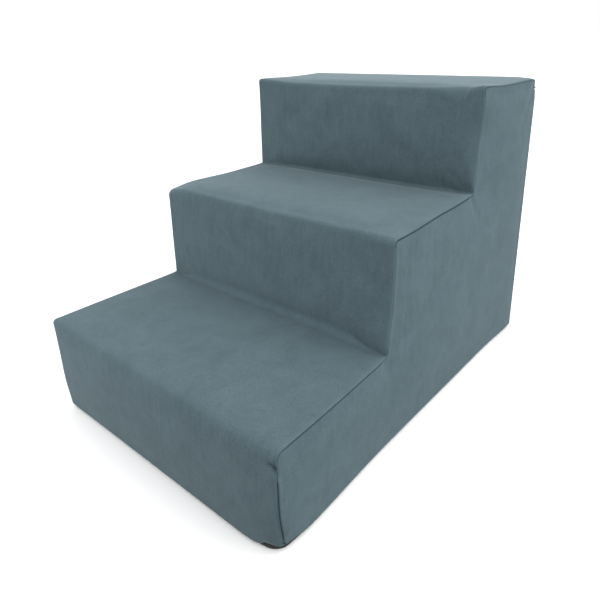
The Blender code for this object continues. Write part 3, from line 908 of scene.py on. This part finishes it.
def repeated_tree():
    """Geometry nodes that set one rounded bead after another along lines."""
    tree = bpy.data.node_groups.new("beads along a line", "GeometryNodeTree")
    sockets = {"Lines": "Geometry", "Pitch": "Float", "Size": "Vector", "Up": "Vector", "Finish": "Material"}
    for name, kind in sockets.items():
        tree.interface.new_socket(name, in_out="INPUT", socket_type=f"NodeSocket{kind}")
    tree.interface.new_socket("Beads", in_out="OUTPUT", socket_type="NodeSocketGeometry")
    given = add(tree, "NodeGroupInput").outputs
    curve = add(tree, "GeometryNodeMeshToCurve", {"Mesh": given["Lines"]}).outputs[0]
    spaced = {"Curve": curve, "Length": given["Pitch"]}
    even = add(tree, "GeometryNodeResampleCurve", spaced, mode="LENGTH").outputs[0]
    bead = add(tree, "GeometryNodeMeshUVSphere", {"Segments": 8, "Rings": 6, "Radius": 0.5}).outputs["Mesh"]
    ahead = {"Vector": add(tree, "GeometryNodeInputTangent").outputs[0]}
    along = add(tree, "FunctionNodeAlignRotationToVector", ahead, axis="X").outputs[0]
    above = {"Rotation": along, "Vector": given["Up"]}
    upright = add(tree, "FunctionNodeAlignRotationToVector", above, axis="Z", pivot_axis="X").outputs[0]
    placed = {"Points": even, "Instance": bead, "Rotation": upright, "Scale": given["Size"]}
    set_out = add(tree, "GeometryNodeInstanceOnPoints", placed)
    real = add(tree, "GeometryNodeRealizeInstances", {"Geometry": set_out.outputs[0]})
    painted = add(tree, "GeometryNodeSetMaterial", {"Geometry": real.outputs[0], "Material": given["Finish"]})
    add(tree, "NodeGroupOutput", {"Beads": painted.outputs[0]})
    return tree


BEADS = repeated_tree()


def beads(name, lines, pitch, size, up, finish):
    """A piece made of beads along lines of points."""
    points = np.vstack(lines)
    edges, first = [], 0
    for line in lines:
        edges += [(first + i, first + i + 1) for i in range(len(line) - 1)]
        first += len(line)
    mesh = bpy.data.meshes.new(name)
    mesh.from_pydata([tuple(p) for p in points], edges, [])
    piece = bpy.data.objects.new(name, mesh)
    scene.collection.objects.link(piece)
    modifier = piece.modifiers.new("beads", "NODES")
    modifier.node_group = BEADS
    values = {"Pitch": pitch, "Size": size, "Up": up, "Finish": finish}
    for socket in BEADS.interface.items_tree:
        if socket.name in values:
            modifier[socket.identifier] = values[socket.name]
    bpy.context.view_layer.update()
    made = bpy.data.meshes.new_from_object(piece.evaluated_get(bpy.context.evaluated_depsgraph_get()))
    piece.modifiers.remove(modifier)
    piece.data = made
    made.shade_smooth()
    return piece


def sewing_thread():
    """Spun polyester thread: a slight gloss, and fine ridges where its plies are twisted."""
    thread, tree, shader, place = new_finish("spun polyester thread")
    ply = 0.000382
    turned = add(tree, "ShaderNodeMapping", {"Vector": place, "Rotation": (0.6, 0.6, 0.6)}).outputs["Vector"]
    twisted = {"Vector": turned, "Scale": 2 / (math.tau * ply), "Distortion": 1.0}
    plies = add(tree, "ShaderNodeTexWave", twisted).outputs["Fac"]
    tones = {"Factor": plies, A: linear("#62777f"), B: linear("#8ba1a8")}
    tone = add(tree, "ShaderNodeMix", tones, data_type="RGBA").outputs[MIXED]
    bump = add(tree, "ShaderNodeBump", {"Height": plies, "Distance": 0.0001, "Strength": 0.6})
    feed(shader, {"Base Color": tone, "Roughness": 0.5, "Sheen Weight": 0.3})
    feed(shader, {"Normal": bump.outputs["Normal"]})
    return thread


SHOWN_DEEP, HIDDEN_DEEP = 0.3, 1.5  # how deep the thread lies where it shows and where not, in grooves
THREAD_STEP = 0.002
SHOWS_ABOVE, SHOWS_OFF_TREAD, SHOWS_BELOW = 0.006, 0.008, 0.012  # the lower tread, the middle one, the top
PINCH_DEEP, PINCH_DOWN, PINCH_REACH = 0.006, 0.012, 0.012  # the front edge's pinch, which it is clear of


def seam_lines():
    """The thread's line along each side seam."""
    flat = evened(inset(seam_path, 0.5 * SEAM_WIDTH), THREAD_STEP)
    y, z = flat.T
    by_riser = (z > LOWER_TOP + SHOWS_ABOVE) * (z < HEIGHT - SHOWS_BELOW)
    by_riser = by_riser * (np.abs(z - MIDDLE_TOP) > SHOWS_OFF_TREAD)
    deep = GROOVE * np.where(by_riser, SHOWN_DEEP, HIDDEN_DEEP)
    deep = deep + PINCH_DEEP * near_place(y, z, (FRONT, LOWER_TOP - PINCH_DOWN), PINCH_REACH)
    lines = []
    for side in (1, -1):
        points = np.column_stack([side * (HALF_WIDTH - deep), flat])
        lines.append(corner_lifted(settled(points + pressed(points))))
    return lines


thread_finish = sewing_thread()
STITCH_SHARE = 0.55  # of the pitch that the thread is on top for
stitch_size = (STITCH_SHARE * STITCH_PITCH, THREAD, THREAD)
stitches = beads("seam_stitches", seam_lines(), STITCH_PITCH, stitch_size, (1.0, 0.0, 0.0), thread_finish)
join(stitches, "suede", "stairs")


# ---------------------------------------------------------------- Base
# Black woven polyester with raised PVC dots, which stops the stairs sliding. It is cut a little
# inside the cover and turned up at its edge, and the cover's rolled edge is sewn to it.

BASE_INSET = 0.0028
BASE_WALL = 0.009
BASE_EDGE = 0.002  # radius where the bottom turns up
BASE_CORNER, BASE_WORN_CORNER = 0.010, 0.015  # seen from below; the second is the front right one
STRAIGHT_STEPS = (92, 62, 92, 62)
DOT_HEIGHT = 0.0007
DOT_PITCH, DOT_WIDTH = 0.0098, 0.0034
ROW_SHARE = 0.866  # from row to row, in pitches
DOT_MARGIN, DOT_BACK_MARGIN = 0.014, 0.012


def rounded_rectangle(half_a, low_b, high_b, radius, last_radius, steps=8):
    """A closed outline, clockwise, of as many points at any size; the last corner has its own radius."""
    arcs = []
    for side_a, b, start in ((-1, low_b, 270), (-1, high_b, 180), (1, high_b, 90), (1, low_b, 0)):
        if start == 0:
            radius = last_radius
        centre = (side_a * (half_a - radius), b + radius if b == low_b else b - radius)
        angles = [math.radians(start - 90 * i / steps) for i in range(steps + 1)]
        arcs.append([(centre[0] + radius * math.cos(a), centre[1] + radius * math.sin(a)) for a in angles])
    outline = []
    for arc, following, count in zip(arcs, arcs[1:] + arcs[:1], STRAIGHT_STEPS):
        outline += arc
        outline += [tuple(p) for p in np.linspace(arc[-1], following[0], count + 1)[1:-1]]
    return outline


def woven_polyester():
    """Black polyester plain weave: a dull cloth that shows its threads in a raking light. They are
    drawn at 0.9 mm, about twice as coarse as real ones, so that they show."""
    cloth, tree, shader, place = new_finish("black woven polyester")
    pitch = 0.0009
    threads = {"Vector": place, "Scale": 2 / (math.tau * pitch)}
    warp, weft = (add(tree, "ShaderNodeTexWave", threads, bands_direction=way).outputs["Fac"] for way in "XY")
    weave = add(tree, "ShaderNodeMath", {0: warp, 1: weft}, operation="MULTIPLY").outputs[0]
    tones = {"Factor": weave, A: linear("#101112"), B: linear("#232527")}
    tone = add(tree, "ShaderNodeMix", tones, data_type="RGBA").outputs[MIXED]
    bump = add(tree, "ShaderNodeBump", {"Height": weave, "Distance": 0.0002, "Strength": 0.7})
    feed(shader, {"Base Color": tone, "Roughness": 0.85, "Sheen Weight": 0.1})
    feed(shader, {"Normal": bump.outputs["Normal"]})
    return cloth


def grip_dots():
    """Soft black PVC, set on the cloth in drops: smoother and shinier than the weave round it."""
    dots, tree, shader, place = new_finish("soft PVC dots")
    wear = add(tree, "ShaderNodeTexNoise", {"Vector": place, "Scale": 1 / 0.02, "Detail": 3.0}).outputs["Fac"]
    tones = {"Factor": wear, A: linear("#151617"), B: linear("#26282a")}
    tone = add(tree, "ShaderNodeMix", tones, data_type="RGBA").outputs[MIXED]
    feed(shader, {"Base Color": tone, "Roughness": 0.42})
    return dots


def base_tray():
    """The base: a flat bottom whose edge turns up, drawn ring by ring from the edge inwards."""
    rings = [(BASE_INSET, BASE_WALL), (BASE_INSET, 0.005), (BASE_INSET, 0.0026)]
    for i in range(1, 6):
        angle = math.pi / 2 * i / 5
        inward, up = BASE_EDGE * (1 - math.cos(angle)), BASE_EDGE * (1 - math.sin(angle))
        rings.append((BASE_INSET + inward, DOT_HEIGHT + up))
    rings += [(0.012, DOT_HEIGHT), (0.020, DOT_HEIGHT)]
    points, faces = [], []
    for deep, level_z in rings:
        radii = (corner - 0.3 * deep for corner in (BASE_CORNER, BASE_WORN_CORNER))
        ring = rounded_rectangle(HALF_WIDTH - deep, FRONT + deep, BACK - deep, *radii)
        points += [(x, y, level_z) for x, y in ring]
    count = len(points) // len(rings)
    for r in range(len(rings) - 1):
        for i in range(count):
            j = (i + 1) % count
            faces.append((r * count + i, r * count + j, (r + 1) * count + j, (r + 1) * count + i))
    faces.append(tuple((len(rings) - 1) * count + i for i in range(count)))
    tray = mesh_object("base_cloth", settled(points), faces, woven_polyester())
    give_thickness(tray, 0.0008)
    return tray


def dot_lines():
    """The rows of dots, each second one half a pitch along."""
    rows = []
    reach = HALF_WIDTH - DOT_MARGIN
    for i, y in enumerate(np.arange(FRONT + DOT_MARGIN, BACK - DOT_BACK_MARGIN, DOT_PITCH * ROW_SHARE)):
        start = -reach + (0.5 * DOT_PITCH if i % 2 else 0.0)
        count = int((reach - start) / DOT_PITCH)
        rows.append(settled([(start, y, DOT_HEIGHT), (start + count * DOT_PITCH, y, DOT_HEIGHT)]))
    return rows


base = base_tray()
join(base, "anti_slip_fabric", "stairs", "base_panel")
dot_size = (DOT_WIDTH, DOT_WIDTH, 2 * DOT_HEIGHT)
dots = beads("base_dots", dot_lines(), DOT_PITCH, dot_size, (0.0, 0.0, 1.0), grip_dots())
join(dots, "anti_slip_fabric", "stairs")


# ---------------------------------------------------------------- Back panels
# The flap inside the zip hangs from the lip and closes the back. Under it a narrow strip runs
# along the foot. Each is folded under at its edges and topstitched along the zip.

FLAP_LOW, FLAP_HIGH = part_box("back_panel")
HEM_LOW, HEM_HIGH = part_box("back_hem_strip")
FLAP_CORNER = 0.013
FLAP_CROWN = 0.0022
TOPSTITCH_INSET = 0.0030
TOPSTITCH_PULL, TOPSTITCH_WIDTH = 0.0003, 0.0009  # of the furrow that the stitching draws in


def back_outline(low, high, corner):
    """A panel of the back, clockwise as x and z, its lower corners rounded."""
    outline = [(low.x, high.z), (high.x, high.z)]
    for x, side, start in ((high.x, 1, 0), (low.x, -1, -90)):
        for i in range(9):
            angle = math.radians(start - 90 * i / 8)
            centre = x - side * corner
            outline.append((centre + corner * math.cos(angle), low.z + corner + corner * math.sin(angle)))
    return evened(np.array(outline + outline[:1]))[:-1]


def back_cloth(name, low, high, corner, crown):
    """One of the back's panels: folded under at its edge, drawn in along its stitching, and crowned."""
    outline = back_outline(low, high, corner)
    flat, faces = filled(outline)
    x, z = flat.T
    gap = distance_to_outline(x, z, [tuple(p) for p in outline])
    sewn = TOPSTITCH_PULL * np.exp(-(((gap - TOPSTITCH_INSET) / TOPSTITCH_WIDTH) ** 2))
    sink = sunk_edge(gap, FOLD_ROLL, FOLD_DEPTH) + sewn
    proud = crown * smooth_step(0.004, 0.09, gap)
    points = np.column_stack([x, BACK + proud - sink, z])
    panel = mesh_object(name, points, faces, suede_finish)
    add_map(panel.data, "flat cloth", flat)
    add_painted_shade(panel.data, np.zeros(len(flat)))
    give_thickness(panel, 0.0011)
    return panel


def topstitch_lines():
    """Lines of stitching beside the zip: on the flap, the foot's strip, the sides' returns and the lip."""
    y = BACK - 0.0003
    flap = back_outline(FLAP_LOW, FLAP_HIGH, FLAP_CORNER)
    flap = inset(np.vstack([flap[-1:], flap, flap[:1]]), TOPSTITCH_INSET)[1:-1]
    lower = flap[(flap[:, 1] < FLAP_HIGH.z - TOPSTITCH_INSET - 0.0005)]
    start = int(np.argmax(np.linalg.norm(np.diff(lower, axis=0), axis=1))) + 1
    lower = np.roll(lower, -start, axis=0)
    lines = [np.column_stack([lower[:, 0], np.full(len(lower), y), lower[:, 1]])]
    hem = HEM_HIGH.z - TOPSTITCH_INSET
    edge = HALF_WIDTH - SIDE_RETURN + TOPSTITCH_INSET
    lines.append(np.array([(-edge, y, hem), (edge, y, hem)]))
    lines += [np.array([(side * edge, y, hem), (side * edge, y, LIP_BOTTOM - 0.002)]) for side in (1, -1)]
    lip, lip_y, lip_z = HALF_WIDTH - 0.006, y + 0.0002, LIP_BOTTOM + TOPSTITCH_INSET
    lines.append(np.array([(-lip, lip_y, lip_z), (lip, lip_y, lip_z)]))
    return [evened(line, THREAD_STEP) for line in lines]


flap = back_cloth("back_flap", FLAP_LOW, FLAP_HIGH, FLAP_CORNER, FLAP_CROWN)
join(flap, "suede", "stairs", "back_panel")
hem = back_cloth("back_hem", HEM_LOW, HEM_HIGH, 0.001, 0.0)
join(hem, "suede", "stairs", "back_hem_strip")
TOPSTITCH_SHARE = 0.78
topstitch_size = (TOPSTITCH_SHARE * STITCH_PITCH, THREAD, THREAD)
BACKWARDS = (0.0, 1.0, 0.0)
lines = topstitch_lines()
topstitches = beads("zip_topstitches", lines, STITCH_PITCH, topstitch_size, BACKWARDS, thread_finish)
join(topstitches, "suede", "stairs")


# ---------------------------------------------------------------- Zip
# A closed-end coil zip in the cover's colour. Each half is a woven tape with a nylon coil sewn
# along its edge. The slider and its tab are die-cast zinc, and the stops are crimped metal.

TAPE_LOW, TAPE_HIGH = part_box("zip_tape_outer")
COIL_LOW, COIL_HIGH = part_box("zip_coil_outer")
COIL_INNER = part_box("zip_coil_inner")
ZIP_X = 0.5 * (FLAP_HIGH.x + HALF_WIDTH - SIDE_RETURN)
ZIP_Z = 0.5 * (HEM_HIGH.z + FLAP_LOW.z)
ZIP_CORNER = FLAP_CORNER + ZIP_X - FLAP_HIGH.x
COIL_NEAR = ZIP_X - COIL_INNER[1].x
COIL_WIDTH = COIL_HIGH.x - ZIP_X - COIL_NEAR
TAPE_WIDTH = TAPE_HIGH.x - ZIP_X - COIL_NEAR
TOOTH_PITCH = 0.0015


def zip_line(offset, top, step=0.002):
    """The zip's middle line moved outwards by an offset, from the slider's end to the other."""
    x, z, radius = ZIP_X + offset, ZIP_Z - offset, ZIP_CORNER + offset
    line = [(x, top)]
    for centre_x, start in ((x - radius, 0), (radius - x, -90)):
        for i in range(13):
            angle = math.radians(start - 90 * i / 12)
            line.append((centre_x + radius * math.cos(angle), z + radius + radius * math.sin(angle)))
    return evened(np.array(line + [(-x, top)]), step)


def woven_tape():
    """Woven polyester zip tape: a fine twill, a shade darker than the suede."""
    tape, tree, shader, place = new_finish("woven polyester zip tape")
    pitch = 0.0011
    ribs = add(tree, "ShaderNodeMapping", {"Vector": place, "Rotation": (0.0, math.pi / 4, 0.0)})
    threads = {"Vector": ribs.outputs["Vector"], "Scale": 2 / (math.tau * pitch)}
    twill = add(tree, "ShaderNodeTexWave", threads, bands_direction="X").outputs["Fac"]
    tones = {"Factor": twill, A: linear("#3f545c"), B: linear("#566d76")}
    tone = add(tree, "ShaderNodeMix", tones, data_type="RGBA").outputs[MIXED]
    bump = add(tree, "ShaderNodeBump", {"Height": twill, "Distance": 0.0002, "Strength": 0.6})
    feed(shader, {"Base Color": tone, "Roughness": 0.8, "Sheen Weight": 0.15})
    feed(shader, {"Normal": bump.outputs["Normal"]})
    return tape


def dyed_nylon():
    """Dyed nylon monofilament: smooth, with a soft highlight on each turn."""
    nylon, tree, shader, place = new_finish("dyed nylon monofilament")
    uneven = add(tree, "ShaderNodeTexNoise", {"Vector": place, "Scale": 1 / 0.006, "Detail": 2.0})
    tones = {"Factor": uneven.outputs["Fac"], A: linear("#4a6069"), B: linear("#5f7780")}
    tone = add(tree, "ShaderNodeMix", tones, data_type="RGBA").outputs[MIXED]
    feed(shader, {"Base Color": tone, "Roughness": 0.38})
    return nylon


def plated_zinc():
    """Nickel-plated die-cast zinc: grey metal, softly polished, with faint rubbing marks."""
    zinc, tree, shader, place = new_finish("nickel-plated zinc")
    marks = {"Vector": place, "Scale": 1 / 0.0025, "Detail": 4.0, "Roughness": 0.6}
    rubbed = add(tree, "ShaderNodeTexNoise", marks).outputs["Fac"]
    polish = add(tree, "ShaderNodeMapRange", {"Value": rubbed, "To Min": 0.22, "To Max": 0.42})
    tones = {"Factor": rubbed, A: linear("#a9aaac"), B: linear("#c6c7c9")}
    tone = add(tree, "ShaderNodeMix", tones, data_type="RGBA").outputs[MIXED]
    bump = add(tree, "ShaderNodeBump", {"Height": rubbed, "Distance": 0.00004, "Strength": 0.4})
    feed(shader, {"Base Color": tone, "Roughness": polish.outputs["Result"], "Metallic": 1.0})
    feed(shader, {"Normal": bump.outputs["Normal"]})
    return zinc


def band(name, near, far, top, back_y, front_y, finish):
    """A closed flat band along the zip between two offsets from its middle line."""
    lines = [zip_line(offset, top) for offset in (near, far)]
    count = min(len(line) for line in lines)
    lines = [resampled(line, count) for line in lines]
    ring = []
    for line, y in ((lines[0], front_y), (lines[1], front_y), (lines[1], back_y), (lines[0], back_y)):
        ring.append(np.column_stack([line[:, 0], np.full(count, y), line[:, 1]]))
    points = np.stack(ring, axis=1).reshape(-1, 3)
    faces = []
    for i in range(count - 1):
        for j in range(4):
            k = (j + 1) % 4
            faces.append((4 * i + j, 4 * i + k, 4 * i + 4 + k, 4 * i + 4 + j))
    faces += [(3, 2, 1, 0), tuple(4 * count - 4 + j for j in range(4))]
    strip = mesh_object(name, points, faces, finish)
    if near < 0:
        strip.data.flip_normals()
    strip.data.shade_flat()
    return strip


def resampled(line, count):
    """A line drawn again with a count of even steps."""
    along = np.r_[0.0, np.cumsum(np.linalg.norm(np.diff(line, axis=0), axis=1))]
    even = np.linspace(0.0, along[-1], count)
    return np.column_stack([np.interp(even, along, axis) for axis in line.T])


def rounded(piece, width, steps):
    """Rounds a metal piece's edges."""
    rounding = piece.modifiers.new("rounded edges", "BEVEL")
    rounding.width = width
    rounding.segments = steps
    rounding.limit_method = "ANGLE"
    rounding.angle_limit = math.radians(35)


tape_finish, nylon_finish, zinc_finish = woven_tape(), dyed_nylon(), plated_zinc()
for name, side in (("outer", 1), ("inner", -1)):
    near, far = side * COIL_NEAR, side * (COIL_NEAR + TAPE_WIDTH)
    tape = band(f"tape_{name}", near, far, TAPE_HIGH.z, TAPE_LOW.y, TAPE_HIGH.y, tape_finish)
    join(tape, "zip_tape", "stairs", f"zip_tape_{name}")
    lead = 0.0 if side > 0 else 0.5 * TOOTH_PITCH
    path = zip_line(side * (COIL_NEAR + 0.5 * COIL_WIDTH), COIL_HIGH.z - 0.5 * TOOTH_PITCH - lead, 0.001)
    line = np.column_stack([path[:, 0], np.full(len(path), 0.5 * (COIL_LOW.y + COIL_HIGH.y)), path[:, 1]])
    tooth = (0.8 * TOOTH_PITCH, COIL_WIDTH, COIL_HIGH.y - COIL_LOW.y)
    teeth = beads(f"coil_{name}", [line], TOOTH_PITCH, tooth, BACKWARDS, nylon_finish)
    join(teeth, "zip_coil", "stairs", f"zip_coil_{name}")

STOP_EDGE, CASTING_EDGE = 0.0003, 0.00018
STOP_FACES = [(0, 1, 2, 3), (7, 6, 5, 4), *((i, i + 4, (i + 1) % 4 + 4, (i + 1) % 4) for i in range(4))]
for node in ("zip_top_stop_outer", "zip_top_stop_inner", "zip_bottom_stop"):
    low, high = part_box(node)
    corners = ((low.x, low.z), (high.x, low.z), (high.x, high.z), (low.x, high.z))
    points = [(x, y, z) for y in (low.y, high.y) for x, z in corners]
    stop = mesh_object(f"{node}_crimp", points, STOP_FACES, zinc_finish)
    rounded(stop, STOP_EDGE, 3)
    join(stop, "zip_metal", "stairs", node)

for node in ("zip_slider", "zip_pull_tab"):
    casting = bpy.data.objects[node]
    casting.data.materials.clear()
    casting.data.materials.append(zinc_finish)
    rounded(casting, CASTING_EDGE, 2)
